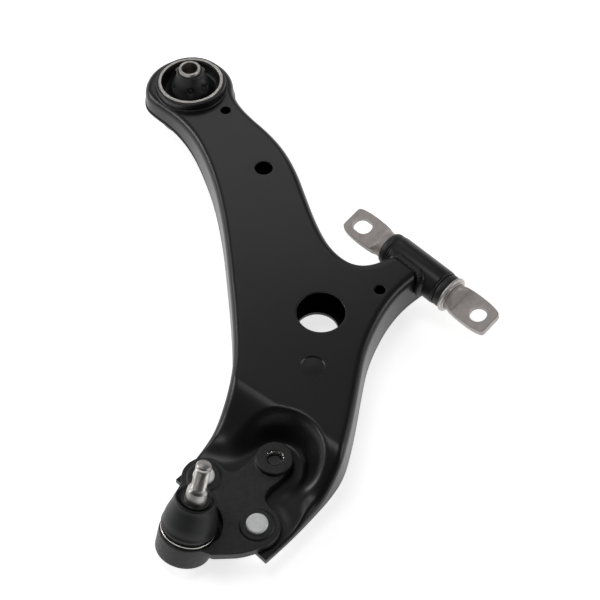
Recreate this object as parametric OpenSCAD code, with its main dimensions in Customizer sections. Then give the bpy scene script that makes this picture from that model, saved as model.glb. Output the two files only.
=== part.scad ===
// Front lower control arm, left-hand pattern: a box-section arm of two stamped shells,
// a vertical rear bush, a front bush with a bolted shaft, and a bolted-on ball joint.
// Frame: origin at the centre of the rear bush, on the arm's pivot line; +Z up along
// the rear bush bore; the ball joint lies out along -Y. Millimetres.

/* [Arm shells] */
// Height of the arm's top face above the pivot line
arm_top = 13; // [12:0.5:14]
// Depth of the box section at mid-length
arm_depth = 33.5; // [33:0.5:36]
// How much the section's underside rises towards the rear bush
rear_rise = 12.5; // [0:0.5:14]
// Sheet thickness of both shells
sheet = 3; // [2:0.25:3.5]
// Radius of the rear eye of the arm
eye_r = 44.5; // [43:0.5:46]
// Radius of the large hole in the upper shell
big_hole_r = 20.4; // [18:0.2:21]
// Radius of the large hole in the lower shell
big_hole_low_r = 18.5; // [17:0.5:20]

/* [Rear bush] */
// Bore radius of the bush's inner sleeve
rear_bore_r = 7.75; // [6:0.25:8.25]
// Outer radius of the inner sleeve
rear_inner_r = 10.2; // [9.5:0.1:11]
// Half length of the inner sleeve
rear_inner_half = 37; // [34:0.5:38]
// Outer radius of the outer sleeve
rear_outer_r = 31; // [30.5:0.5:31.5]
// Half length of the outer sleeve
rear_outer_half = 21.5; // [20:0.5:23]
// Outer radius of the welded housing
housing_r = 33.5; // [33:0.5:35]

/* [Front bush and shaft] */
// Angle of the pivot line below +X
pivot_angle = 48.3; // [47.8:0.1:48.8]
// Distance from the rear bush to the middle of the front bush
front_reach = 301; // [299:1:303]
// Distance between the shaft's two bolt holes
bolt_span = 137; // [134:1:140]
// Radius of the bolt holes
bolt_hole_r = 7.75; // [6.5:0.25:8.25]
// Extra length of the slotted bolt hole
slot_extra = 4; // [2:0.5:6]
// Thickness of the shaft's flattened ends
flat_t = 8; // [6:0.5:9]
// Width of the flattened ends
flat_w = 28.5; // [26:0.5:30]
// Tilt of the flattened ends about the pivot line
flat_tilt = 15; // [0:1:30]
// Outer radius of the front bush tube
tube_r = 16.3; // [16:0.1:17]
// Length of the front bush tube
tube_len = 54; // [52:1:62]
// Outer radius of the stop washer
washer_r = 16.8; // [15:0.1:18]

/* [Ball joint] */
// Place of the boot's clamp ring, which is the ball joint's reference point
joint_at = [0, -462.5, -7];
// Tilt of the ball joint's axis from vertical
joint_tilt = 22.7; // [21:0.1:24]
// Radius of the ball
ball_r = 13; // [12.5:0.1:13.2]
// Radius of the threaded end
thread_r = 6; // [5:0.5:6.5]
// Height of the stud's tip above the clamp ring
tip_h = 66.4; // [62:0.2:68]
// Outer radius of the ball housing
socket_r = 22.3; // [21.5:0.1:23]

/* [Bracket] */
// Thickness of the forged bracket
bracket_t = 8; // [7:0.5:9]
// Radius of the raised boss
boss_r = 14.7; // [14:0.1:16]
// Radius of the pressed studs' heads
head_r = 8.6; // [8:0.1:9]

/* [Hidden] */
$fn = 64;

eps = 0.01;
arm_low = arm_top - arm_depth;      // underside of the lower shell
flange_z = arm_low + 2 * sheet;     // top of the two-sheet flange under the bracket
bracket_z = flange_z + bracket_t;   // top face of the bracket
seam_gap = 0.1;                     // between the upper shell's rim and the lower shell
draft = 1.5;                        // the walls lean in by this much at the shoulder
bush_half = tube_len / 2;

boss_at = [68, -406];
stud_spots = [[52.8, -462.5], [12, -419]];
fastener_hole_r = 6.5;              // clearance holes in the flange for studs and bolt
big_hole_at = [111.3, -276.1];
big_hole_low_at = [108.5, -272.5];
punched_holes = [[33, -33.6, 4.75], [67.4, -109.6, 8.1], [162.8, -254.6, 4.8]]; // x, y, r
joint_heading = 51.3;               // compass of the tilted axis, from +X

// ---- outlines ------------------------------------------------------------------
// A smooth curve through points p, n steps to each stretch, without its last point.
function blend4(a, b, c, d, t) = 0.5 * (2 * b + (c - a) * t
    + (2 * a - 5 * b + 4 * c - d) * t * t + (3 * b - a - 3 * c + d) * t * t * t);
function smooth(p, n) = [for (i = [0 : len(p) - 2]) for (k = [0 : n - 1])
    blend4(p[max(i - 1, 0)], p[i], p[i + 1], p[min(i + 2, len(p) - 1)], k / n)];
function arc(c, r, a0, a1, n) = [for (k = [0 : n - 1])
    c + r * [cos(a0 + (a1 - a0) * k / n), sin(a0 + (a1 - a0) * k / n)]];

left_corner = [-11, -415.5];
right_corner = [58.5, -489];
tube_corner = [212, -231];
eye_at = [-2, 1.5];                 // the eye is not quite concentric with the bush
front_edge = [right_corner, [78, -471], [93, -455.5], [110, -436.5], [122, -418.5],
    [129.5, -396], [136, -370], [142, -343], [149, -315.5], [159.5, -291], [172, -269.5],
    [188, -250.5], tube_corner];
inner_edge = [[192.5, -205], [175.5, -214], [165, -219.8], [156.5, -222.8], [148, -223.2],
    [140, -219.8], [131, -211], [122, -196], [113.7, -171.5], [106.4, -142],
    [99, -111.5], [88.6, -84], [74.8, -60.8], [58.8, -40], [48, -23]];
outer_edge = [[-36, -21], [-21, -35.5], [-10.5, -48.5], [-0.5, -65], [7.7, -84.3],
    [15.8, -110], [21.4, -135], [25.4, -160], [28.8, -188], [31.6, -225], [34.2, -265],
    [35.3, -300], [34.5, -325], [31.5, -343], [26, -359.5], [17.8, -377], [6.8, -394],
    left_corner];
arm_outline = concat(
    [for (k = [0 : 7]) left_corner + (right_corner - left_corner) * k / 8],
    smooth(front_edge, 2), [tube_corner, (tube_corner + inner_edge[0]) / 2],
    smooth(inner_edge, 2), arc(eye_at, eye_r, -10, 196, 22), smooth(outer_edge, 2));

// The outline moved inwards by d, along each point's own normal.
function inward(a, b) = let (t = b - a) [-t[1], t[0]] / norm(t);
function inset(p, d) = let (n = len(p)) [for (i = [0 : n - 1])
    let (u = inward(p[(i + n - 1) % n], p[i]), v = inward(p[i], p[(i + 1) % n]), w = u + v)
    p[i] + d * 2 * w / (w * w)];

// A solid whose sides follow the outline at a list of [inset, height] levels, from the
// bottom up. A band without end caps makes the sides, and a plain core fills it.
core_inset = 8.5;
module stack(levels) {
    n = len(arm_outline);
    low = levels[0][1];
    high = levels[len(levels) - 1][1];
    loop = concat(levels, [[core_inset, high], [core_inset, low]]);
    points = [for (l = loop) for (q = inset(arm_outline, l[0])) [q[0], q[1], l[1]]];
    polyhedron(points, [for (k = [0 : len(loop) - 1]) for (i = [0 : n - 1])
        let (j = (i + 1) % n, m = (k + 1) % len(loop))
        each [[k * n + i, m * n + i, k * n + j], [k * n + j, m * n + i, m * n + j]]]);
    translate([0, 0, low]) linear_extrude(high - low)
        polygon(inset(arm_outline, core_inset));
}

// ---- the section's underside and the outboard pocket ------------------------------
rise_from = -110;
rise_to = -15;
function ease(t) = let (c = min(max(t, 0), 1)) c * c * (3 - 2 * c);
function underside(y) = arm_low + rear_rise * ease((y - rise_from) / (rise_to - rise_from));

// Everything above the underside's side profile, lifted by lift.
module above_underside(lift) {
    ys = concat([-520], [for (k = [0 : 8]) rise_from + (rise_to - rise_from) * k / 8], [60]);
    profile = concat([for (y = ys) [y, underside(y) + lift]], [[60, 60], [-520, 60]]);
    rotate([90, 0, 90]) translate([0, 0, -80]) linear_extrude(340) polygon(profile);
}

// What is cut away above the arm's outboard end: a dip towards the end edge, and the
// flared pocket that the bracket sits in. sink lowers the cut, tight narrows it.
flank = 0.58 * sheet;               // the sheet's thickness, level with the pocket's slope
end_heading = atan2(right_corner[1] - left_corner[1], right_corner[0] - left_corner[0]);
module outboard_cut(sink, tight) {
    top = arm_top + 12;
    dip = [[-30, flange_z - sink], [0, flange_z - sink], [50, flange_z + 8 - sink],
        [90, arm_top - 1 - sink], [112, arm_top + 4 - sink], [112, top], [-30, top]];
    translate([left_corner[0], left_corner[1], 0]) rotate([0, 0, end_heading])
        rotate([90, 0, 90]) translate([0, 0, -30]) linear_extrude(170) polygon(dip);
    floor_z = flange_z - sink;
    flare = 15.5 * (top - floor_z) / (arm_top - flange_z);
    hull() {
        for (s = [[69, -407, 21], [12, -419, 18], [52.8, -462.5, 18], [0, -440, 18]])
            translate([s[0], s[1], floor_z]) cylinder(h = top - floor_z, r1 = s[2] - tight,
                r2 = s[2] - tight + flare, $fn = 32);
    }
}

// ---- shared cutters ----------------------------------------------------------------
module along_pivot(s) {
    rotate([0, 0, -pivot_angle]) translate([s, 0, 0]) rotate([0, 90, 0]) children();
}
module at_joint() {
    translate(joint_at) rotate([0, 0, joint_heading]) rotate([0, joint_tilt, 0]) children();
}
module housing_cutter() {
    translate([0, 0, -60]) cylinder(h = 120, r = housing_r);
}
module tube_cutter() {
    along_pivot(front_reach - 45) cylinder(h = 90, r = tube_r);
}
module plain_holes(low, high) {
    for (h = punched_holes)
        translate([h[0], h[1], low]) cylinder(h = high - low, r = h[2]);
}
module fastener_holes(low, high) {
    for (p = concat(stud_spots, [boss_at]))
        translate([p[0], p[1], low]) cylinder(h = high - low, r = fastener_hole_r);
}

// ---- arm ---------------------------------------------------------------------------
module upper_shell() {
    color([0.09, 0.09, 0.09]) difference() {
        stack([[0, arm_low], [draft, arm_top - 7], [draft + 2, arm_top - 2.2],
            [draft + 6.5, arm_top]]);
        outboard_cut(0, 0);
        difference() {
            stack([[sheet, arm_low - 1], [draft + sheet, arm_top - 7.6],
                [draft + sheet + 1, arm_top - 4.4], [draft + sheet + 3.5, arm_top - sheet]]);
            outboard_cut(sheet, -flank);
        }
        difference() {
            translate([-80, -520, arm_low - 40]) cube([340, 600, 80]);
            above_underside(sheet + seam_gap);
        }
        housing_cutter();
        tube_cutter();
        plain_holes(0, arm_top + 5);
        translate([big_hole_at[0], big_hole_at[1], 0]) cylinder(h = arm_top + 5, r = big_hole_r);
        fastener_holes(arm_low - 5, flange_z + 5);
    }
}

module lower_shell() {
    color([0.07, 0.07, 0.07]) difference() {
        intersection() {
            above_underside(0);
            union() {
                difference() {
                    translate([0, 0, arm_low]) linear_extrude(40) polygon(arm_outline);
                    above_underside(sheet);
                }
                difference() {
                    translate([0, 0, arm_low]) linear_extrude(12)
                        polygon(inset(arm_outline, draft + sheet));
                    translate([0, 0, arm_low - 1]) linear_extrude(14)
                        polygon(inset(arm_outline, draft + 2 * sheet));
                    outboard_cut(sheet + seam_gap, -flank - seam_gap);
                }
            }
        }
        housing_cutter();
        tube_cutter();
        translate([big_hole_low_at[0], big_hole_low_at[1], arm_low - 5])
            cylinder(h = 20, r = big_hole_low_r);
        fastener_holes(arm_low - 5, flange_z + 5);
    }
}

bead_r = 2.6;
module weld_beads() {
    color([0.13, 0.13, 0.13]) {
        rotate_extrude() polygon([[housing_r, arm_top], [housing_r + bead_r, arm_top],
            [housing_r, arm_top + bead_r]]);
        difference() {
            rotate([0, 0, -pivot_angle]) translate([front_reach - 14, -9.6, arm_top - 0.4])
                rotate([0, 90, 0]) cylinder(h = 26, r = bead_r, $fn = 32);
            tube_cutter();
            translate([100, -320, arm_top - 20]) cube([160, 160, 20]);
        }
    }
}

// ---- rear bush ---------------------------------------------------------------------
module ring(r_out, r_in, low, high) {
    difference() {
        translate([0, 0, low]) cylinder(h = high - low, r = r_out);
        translate([0, 0, low - 1]) cylinder(h = high - low + 2, r = r_in);
    }
}
rear_sleeve_wall = 2.2;
rear_proud = 0.8;       // the outer sleeve stands out of the housing at both ends
module rear_bush_housing() {
    color([0.06, 0.06, 0.06])
        ring(housing_r, rear_outer_r, rear_proud - rear_outer_half, rear_outer_half - rear_proud);
}
module rear_outer_sleeve() {
    color([0.8, 0.79, 0.77])
        ring(rear_outer_r, rear_outer_r - rear_sleeve_wall, -rear_outer_half, rear_outer_half);
}
module rear_rubber() {
    wall = rear_outer_r - rear_sleeve_wall;
    top = rear_inner_half - 3;
    half = [[wall, 9], [wall - 3.5, 7.5], [wall - 9, 10.5], [rear_inner_r + 4, 22],
        [rear_inner_r + 2.2, top - 1], [rear_inner_r, top]];
    color([0.05, 0.05, 0.05]) difference() {
        rotate_extrude() polygon(concat(half,
            [for (i = [len(half) - 1 : -1 : 0]) [half[i][0], -half[i][1]]]));
        for (a = [-95, -50, 85, 140], side = [0, 1]) mirror([0, 0, side])
            rotate([0, 0, a]) translate([20.5, 0, 6]) cylinder(h = 12, r = 1.8);
    }
}
module rear_inner_sleeve() {
    color([0.66, 0.63, 0.6])
        ring(rear_inner_r, rear_bore_r, -rear_inner_half, rear_inner_half);
}

// ---- front bush --------------------------------------------------------------------
lip_t = 1.5;            // flange of each pressed-in sleeve
cushion_t = 7.5;        // rubber outside the sleeve's flange
sleeve_wall = 1.2;
tube_bore_r = tube_r - 2.7;
core_r = 8.5;           // the shaft inside the bush
middle_gap = 3;         // each half of the bush stops this far from its middle
module front_bush_tube() {
    color([0.07, 0.07, 0.07]) along_pivot(front_reach)
        ring(tube_r, tube_bore_r, -bush_half, bush_half);
}
module both_ends() {
    along_pivot(front_reach) for (side = [0, 1]) mirror([0, 0, side]) children();
}
module front_outer_sleeves() {
    color([0.3, 0.3, 0.3]) both_ends() {
        ring(tube_bore_r, tube_bore_r - sleeve_wall, middle_gap, bush_half);
        ring(tube_r - 0.4, tube_bore_r - sleeve_wall, bush_half, bush_half + lip_t);
    }
}
module front_rubber(side) {
    color([0.04, 0.04, 0.04]) along_pivot(front_reach) mirror([0, 0, side]) {
        ring(tube_bore_r - sleeve_wall, core_r, middle_gap, bush_half + lip_t);
        ring(tube_r - 0.8, core_r, bush_half + lip_t, bush_half + lip_t + cushion_t);
    }
}
module front_rubber_rear() { front_rubber(1); }
module front_rubber_front() { front_rubber(0); }

cushion_end = bush_half + lip_t + cushion_t;
neck_r = 12.5;
washer_t = 3;
end_reach = 14.5;       // each flattened end goes this far beyond its bolt hole
end_inboard = 22;       // and this far inboard, where it blends into the neck
end_corner = 7;
module front_washer() {
    color([0.6, 0.57, 0.55]) along_pivot(front_reach)
        ring(washer_r, core_r, cushion_end, cushion_end + washer_t);
}
// A plate with one rounded end at +X, and a square end at -X, standing on z = -t/2.
module eye_plate(inboard, outboard, corner) {
    w = flat_w / 2;
    translate([-inboard, -w, -flat_t / 2])
        cube([inboard + outboard - corner, flat_w, flat_t]);
    translate([0, corner - w, -flat_t / 2])
        cube([outboard, flat_w - 2 * corner, flat_t]);
    for (s = [-1, 1]) translate([outboard - corner, s * (w - corner), -flat_t / 2])
        cylinder(h = flat_t, r = corner);
}
module shaft_end(collar, slot) {
    reach = bolt_span / 2;
    translate([reach, 0, 0]) difference() {
        eye_plate(end_inboard, end_reach, end_corner);
        for (s = [0, 1]) translate([(s - 0.5) * slot, 0, -flat_t])
            cylinder(h = 2 * flat_t, r = bolt_hole_r);
        if (slot > 0) translate([-slot / 2, -bolt_hole_r, -flat_t])
            cube([slot, 2 * bolt_hole_r, 2 * flat_t]);
    }
    translate([collar, 0, 0]) rotate([0, 90, 0])
        cylinder(h = reach - end_inboard - 6 - collar, r = neck_r);
    hull() {
        translate([reach - end_inboard - 6.5, 0, 0]) rotate([0, 90, 0])
            cylinder(h = 0.5, r = neck_r, $fn = 32);
        translate([reach - end_inboard, -flat_w / 2, -flat_t / 2]) cube([0.5, flat_w, flat_t]);
    }
}
module front_shaft() {
    color([0.5, 0.47, 0.45]) rotate([0, 0, -pivot_angle]) translate([front_reach, 0, 0])
        rotate([flat_tilt, 0, 0]) {
            translate([-cushion_end - eps, 0, 0]) rotate([0, 90, 0])
                cylinder(h = 2 * cushion_end + washer_t + eps, r = core_r);
            shaft_end(cushion_end + washer_t, 0);
            mirror([1, 0, 0]) shaft_end(cushion_end, slot_extra);
        }
}

// ---- ball joint --------------------------------------------------------------------
stud_r = 6;             // shanks of the two pressed studs
bolt_r = 6.2;           // the bolt in the raised boss
boss_rise = 4;          // height of the boss above the bracket
pad_r = 12.6;           // raised pad under each stud's head
pad_rise = 1.3;         // height of the pad
head_t = 2.8;           // thickness of the stud's head
shoulder_h = 1.8;       // cone between the ball stud's taper and its thread
nut_t = 11;             // height of each flanged nut
nut_hex = 18;           // across flats
nut_flange = 2;         // thickness of its flange
bolt_hex = 19;
washer_low = 2.5;       // thickness of the washer under the bolt's head
ball_h = -6;            // ball centre, along the joint's axis from the clamp ring
seat_r = 16;
lip_h = 1;              // top of the ball seat
neck_h = 2.5;           // top of the housing
boot_seat_r = 18.3;     // neck of the housing that the boot is stretched over
boot_seat_h = -2;       // step at the neck's foot
boot_gap_r = 23;        // the bracket stays clear of the boot out to here
boot_room_r = 25.8;     // and out to here above the seat, where the boot leans over
boot_room_h = 3.2;
web_r = 24.8;           // web that joins the housing to the plate's underside
socket_low = -23;
socket_edge = 3;        // height of the housing's bevelled bottom edge
cap_t = 1.7;
spring_t = 0.8;
ball_gap = 0.05;        // running clearance of the ball in its seat
seat_mouth_r = 11.4;
bracket_edge = concat(arc(boss_at, 15.2, 145, -10, 10),
    smooth([[81, -413], [72, -423.5], [62.5, -432], [59.5, -438.5], [62, -445.5], [67.5, -452]], 3),
    arc([52.8, -462.5], 18.2, 30, -75, 8),
    smooth([[50, -483.5], [38, -486], [18, -486]], 2),
    [[-18, -470], [-16.5, -447]],
    smooth([[-12, -434], [-6.2, -424]], 2),
    arc([12, -419], 18.2, 195, 55, 9),
    smooth([[25, -406.5], [30.5, -413.5], [37, -414.5], [46, -407.5]], 2));

module ball_joint_bracket() {
    color([0.1, 0.1, 0.1]) difference() {
        union() {
            translate([0, 0, flange_z]) linear_extrude(bracket_t) polygon(bracket_edge);
            translate([boss_at[0], boss_at[1], flange_z])
                cylinder(h = bracket_t + boss_rise, r = boss_r);
            for (p = stud_spots) translate([p[0], p[1], bracket_z - 1]) {
                cylinder(h = 1, r = pad_r + pad_rise);
                translate([0, 0, 1]) cylinder(h = pad_rise, r1 = pad_r + pad_rise, r2 = pad_r);
            }
            at_joint() {
                translate([0, 0, socket_low + socket_edge])
                    cylinder(h = boot_seat_h - socket_low - socket_edge, r = socket_r);
                translate([0, 0, socket_low])
                    cylinder(h = socket_edge, r1 = socket_r - 2.2, r2 = socket_r);
                translate([0, 0, boot_seat_h - 0.5])
                    cylinder(h = neck_h - boot_seat_h + 0.5, r = boot_seat_r);
                intersection() {
                    union() {
                        translate([0, 0, -18]) cylinder(h = 12, r1 = socket_r, r2 = web_r);
                        translate([0, 0, -6]) cylinder(h = 9, r = web_r);
                    }
                    translate([10, -30, -20]) cube([20, 60, 30]);
                }
            }
        }
        at_joint() {
            translate([0, 0, neck_h]) cylinder(h = 30, r = boot_gap_r);
            ring(boot_gap_r, boot_seat_r, boot_seat_h, 30);
            ring(boot_room_r, boot_seat_r, boot_room_h, 32);
            translate([0, 0, boot_room_h - 2]) difference() {
                cylinder(h = 2 + eps, r1 = boot_gap_r, r2 = boot_room_r);
                translate([0, 0, -1]) cylinder(h = 4, r = boot_seat_r);
            }
            translate([0, 0, socket_low - 20]) cylinder(h = 20 + cap_t + 0.3, r = seat_r + 1.6);
            translate([0, 0, socket_low - 1]) cylinder(h = lip_h + 1 - socket_low, r = seat_r);
            translate([0, 0, lip_h - 1]) cylinder(h = 4, r1 = 12, r2 = 14.5);
        }
        for (p = stud_spots)
            translate([p[0], p[1], flange_z - 1]) cylinder(h = 20, r = stud_r);
        translate([boss_at[0], boss_at[1], 0]) {
            translate([0, 0, flange_z - 1]) cylinder(h = 20, r = bolt_r);
            translate([0, 0, bracket_z + boss_rise - 1])
                cylinder(h = 1.5, r1 = bolt_r, r2 = bolt_r + 1.5);
        }
    }
}
module ball_seat() {
    color([0.85, 0.83, 0.75]) at_joint() difference() {
        translate([0, 0, socket_low + cap_t + spring_t])
            cylinder(h = lip_h - socket_low - cap_t - spring_t, r = seat_r);
        translate([0, 0, ball_h]) sphere(ball_r + ball_gap);
        translate([0, 0, ball_h + 6]) cylinder(h = 8, r = seat_mouth_r);
    }
}
module preload_spring() {
    color([0.45, 0.45, 0.47]) at_joint()
        ring(seat_r - 0.3, 8, socket_low + cap_t, socket_low + cap_t + spring_t);
}
module housing_cap() {
    color([0.16, 0.16, 0.16]) at_joint()
        translate([0, 0, socket_low]) cylinder(h = cap_t, r = seat_r + 1.5);
}
taper_low = 18;
taper_top = 41;
function taper_r(h) = 9.8 - 1.8 * (h - taper_low) / (taper_top - taper_low);
module ball_stud() {
    color([0.72, 0.7, 0.68]) at_joint() {
        translate([0, 0, ball_h]) sphere(ball_r);
        rotate_extrude() polygon([[0, ball_h], [6, ball_h], [6, 4], [8, 11],
            [taper_r(taper_low), taper_low - 2], [taper_r(taper_low), taper_low],
            [taper_r(taper_top), taper_top], [thread_r, taper_top + shoulder_h],
            [thread_r, tip_h - 1], [thread_r - 0.9, tip_h], [0, tip_h]]);
    }
}
module dust_boot() {
    color([0.06, 0.06, 0.07]) at_joint() rotate_extrude() polygon([
        [18.4, -1.8], [20.2, -1.8], [20.2, 1.6], [20.9, 4], [21.3, 8], [21, 13], [19.2, 19],
        [17.2, 25.5], [16.2, 29.5], [15.8, 31.3], [14.6, 31.7], [13.2, 29.8], [11.4, 29.2],
        [9.4, 28.8],
        [9.4, 26.4], [12.3, 25.4], [14.6, 23], [17.2, 18], [18.7, 12.5], [18.9, 8],
        [18.4, 4]]);
}
wire_r = 0.8;
module boot_clamp_ring() {
    color([0.75, 0.73, 0.7]) at_joint()
        rotate_extrude() translate([20.25 + wire_r, -0.1]) circle(wire_r, $fn = 24);
}
collar_h = 29.4;        // underside of the ring in the boot's collar
module boot_collar_ring() {
    color([0.12, 0.12, 0.12]) at_joint()
        ring(11.2, taper_r(collar_h) + 0.06, collar_h, collar_h + 1.4);
}

// ---- bracket fasteners ---------------------------------------------------------------
module bracket_studs() {
    color([0.82, 0.83, 0.82]) for (p = stud_spots) translate([p[0], p[1], 0]) {
        translate([0, 0, bracket_z + pad_rise]) {
            cylinder(h = head_t - 0.8, r = head_r);
            translate([0, 0, head_t - 0.8]) cylinder(h = 0.8, r1 = head_r, r2 = head_r - 0.8);
        }
        translate([0, 0, arm_low - nut_t - nut_flange])
            cylinder(h = bracket_z + pad_rise - arm_low + nut_t + nut_flange + 0.2, r = stud_r);
    }
}
module hex_piece(across, h) {
    rotate([0, 0, 15]) cylinder(h = h, r = across / sqrt(3), $fn = 6);
}
module bracket_nuts() {
    color([0.7, 0.7, 0.66]) for (p = stud_spots)
        translate([p[0], p[1], arm_low]) mirror([0, 0, 1]) difference() {
            union() {
                cylinder(h = nut_flange, r = 12.5);
                hex_piece(nut_hex, nut_t);
            }
            translate([0, 0, -1]) cylinder(h = 20, r = stud_r);
        }
}
module bracket_bolt() {
    color([0.7, 0.7, 0.66]) translate([boss_at[0], boss_at[1], 0]) {
        translate([0, 0, arm_low - 3]) cylinder(h = bracket_z + 2 - arm_low, r = bolt_r);
        translate([0, 0, arm_low - washer_low - 8]) hex_piece(bolt_hex, 8);
    }
}
module bolt_washer() {
    color([0.7, 0.7, 0.66]) translate([boss_at[0], boss_at[1], 0])
        ring(14, bolt_r, arm_low - washer_low, arm_low);
}

upper_shell();
lower_shell();
rear_bush_housing();
rear_outer_sleeve();
rear_rubber();
rear_inner_sleeve();
front_bush_tube();
front_outer_sleeves();
front_rubber_rear();
front_rubber_front();
front_shaft();
front_washer();
ball_joint_bracket();
ball_seat();
preload_spring();
housing_cap();
ball_stud();
dust_boot();
boot_clamp_ring();
boot_collar_ring();
bracket_studs();
bracket_nuts();
bracket_bolt();
bolt_washer();
weld_beads();
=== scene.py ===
import math

import bmesh
import bpy
import numpy as np
from mathutils import Matrix, Vector
from mathutils.geometry import delaunay_2d_cdt


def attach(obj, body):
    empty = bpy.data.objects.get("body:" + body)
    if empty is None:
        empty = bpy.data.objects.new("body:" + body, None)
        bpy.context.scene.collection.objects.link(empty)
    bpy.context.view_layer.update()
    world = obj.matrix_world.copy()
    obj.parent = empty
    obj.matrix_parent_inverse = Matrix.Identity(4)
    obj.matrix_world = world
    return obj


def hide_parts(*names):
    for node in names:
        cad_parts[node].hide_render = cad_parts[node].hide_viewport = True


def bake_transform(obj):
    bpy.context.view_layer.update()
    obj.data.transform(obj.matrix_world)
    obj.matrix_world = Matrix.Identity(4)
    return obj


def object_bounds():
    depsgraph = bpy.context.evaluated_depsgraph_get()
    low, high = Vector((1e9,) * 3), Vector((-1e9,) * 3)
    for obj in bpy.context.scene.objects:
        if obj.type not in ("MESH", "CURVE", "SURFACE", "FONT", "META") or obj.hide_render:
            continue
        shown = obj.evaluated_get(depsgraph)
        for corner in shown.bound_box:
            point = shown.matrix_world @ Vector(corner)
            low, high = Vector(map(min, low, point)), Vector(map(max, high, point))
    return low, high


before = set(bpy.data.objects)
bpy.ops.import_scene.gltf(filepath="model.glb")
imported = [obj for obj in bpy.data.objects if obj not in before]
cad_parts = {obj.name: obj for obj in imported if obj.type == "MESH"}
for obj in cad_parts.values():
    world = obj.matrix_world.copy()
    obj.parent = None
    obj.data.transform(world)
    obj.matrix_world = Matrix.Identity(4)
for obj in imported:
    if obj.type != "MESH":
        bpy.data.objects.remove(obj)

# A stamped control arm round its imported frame. Shapes are worked out in millimetres in the
# row's own frame, and piece() brings them to metres.
MM = 0.001
cad_low, cad_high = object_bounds()

# ---- driving sizes, the same as the frame's
ARM_TOP = 13.0
ARM_LOW = -20.5
REAR_RISE = 12.5
SHEET = 3.0
SEAM_GAP = 0.1
EYE_AT = (-2.0, 1.5)
EYE_R = 44.5
HOUSING_R = 33.5
BIG_HOLE = ((111.3, -276.1), 20.4)
BIG_HOLE_LOW = ((108.5, -272.5), 18.5)
PLAIN_HOLES = [((33.0, -33.6), 4.75), ((67.4, -109.6), 8.1), ((162.8, -254.6), 4.8)]
DISC_MARK = ((101.7, -330.6), 9.8)
FLANGE_Z = ARM_LOW + 2 * SHEET
BRACKET_Z = FLANGE_Z + 8.0
STUD_SPOTS = [(52.8, -462.5), (12.0, -419.0)]
BOSS_AT = (68.0, -406.0)

PIVOT_ANGLE = math.radians(48.3)
FRONT_REACH = 301.0
TUBE_R = 16.3
BUSH_HALF = 27.0
LIP_T = 1.5
CUSHION_T = 7.5
CUSHION_END = BUSH_HALF + LIP_T + CUSHION_T
BOLT_REACH = 68.5
FLAT_TILT = math.radians(15.0)

JOINT_AT = np.array([0.0, -462.5, -7.0])
JOINT_TILT = math.radians(22.7)
JOINT_HEADING = math.radians(51.3)
BALL_H = -6.0
BOOT_SEAT_R = 18.3      # neck of the housing that the boot is stretched over
BOOT_GAP_R = 23.0       # the bracket stays clear of the boot out to here
BOOT_ROOM_R = 25.8      # and out to here higher up, where the boot leans over
WEB_R = 24.8            # web that joins the housing to the plate's underside


# ---- places
def place(origin, x_axis, y_axis, z_axis):
    m = np.eye(4)
    m[:3, 0], m[:3, 1], m[:3, 2], m[:3, 3] = x_axis, y_axis, z_axis, origin
    return m


ALONG = np.array([math.cos(PIVOT_ANGLE), -math.sin(PIVOT_ANGLE), 0.0])
ACROSS = np.array([math.sin(PIVOT_ANGLE), math.cos(PIVOT_ANGLE), 0.0])
UP = np.array([0.0, 0.0, 1.0])
BUSH_PLACE = place(ALONG * FRONT_REACH, -UP, ACROSS, ALONG)
FLAT_ACROSS = ACROSS * math.cos(FLAT_TILT) + UP * math.sin(FLAT_TILT)
FLAT_UP = UP * math.cos(FLAT_TILT) - ACROSS * math.sin(FLAT_TILT)
SHAFT_PLACE = place(ALONG * FRONT_REACH, ALONG, FLAT_ACROSS, FLAT_UP)
STUD_AXIS = np.array([
    math.sin(JOINT_TILT) * math.cos(JOINT_HEADING),
    math.sin(JOINT_TILT) * math.sin(JOINT_HEADING),
    math.cos(JOINT_TILT)])
STUD_SIDE = np.array([-math.sin(JOINT_HEADING), math.cos(JOINT_HEADING), 0.0])
JOINT_PLACE = place(JOINT_AT, np.cross(STUD_SIDE, STUD_AXIS), STUD_SIDE, STUD_AXIS)


def at(x, y, z=0.0):
    return place((x, y, z), (1, 0, 0), (0, 1, 0), (0, 0, 1))


# ---- materials
def node_graph(name):
    mat = bpy.data.materials.new(name)
    mat.use_nodes = True
    return mat, mat.node_tree.nodes, mat.node_tree.links


def noise(nodes, links, source, scale, detail=4.0, rough=0.55):
    n = nodes.new("ShaderNodeTexNoise")
    n.inputs["Scale"].default_value = scale
    n.inputs["Detail"].default_value = detail
    n.inputs["Roughness"].default_value = rough
    links.new(source, n.inputs["Vector"])
    return n.outputs["Fac"]


def mapped(nodes, links, source, low, high, to_low, to_high):
    n = nodes.new("ShaderNodeMapRange")
    links.new(source, n.inputs["Value"])
    for key, value in (("From Min", low), ("From Max", high), ("To Min", to_low),
                       ("To Max", to_high)):
        n.inputs[key].default_value = value
    return n.outputs["Result"]


def mixed(nodes, links, share, a, b):
    """Colour a where share is 0, b where it is 1; each is a colour or a socket."""
    n = nodes.new("ShaderNodeMix")
    n.data_type = "RGBA"
    links.new(share, n.inputs["Factor"])
    for socket, value in ((n.inputs[6], a), (n.inputs[7], b)):
        if isinstance(value, tuple):
            socket.default_value = (*value, 1)
        else:
            links.new(value, socket)
    return n.outputs[2]


def bumped(nodes, links, height, strength, distance, after=None):
    n = nodes.new("ShaderNodeBump")
    n.inputs["Strength"].default_value = strength
    n.inputs["Distance"].default_value = distance
    links.new(height, n.inputs["Height"])
    if after is not None:
        links.new(after, n.inputs["Normal"])
    return n.outputs["Normal"]


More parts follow.
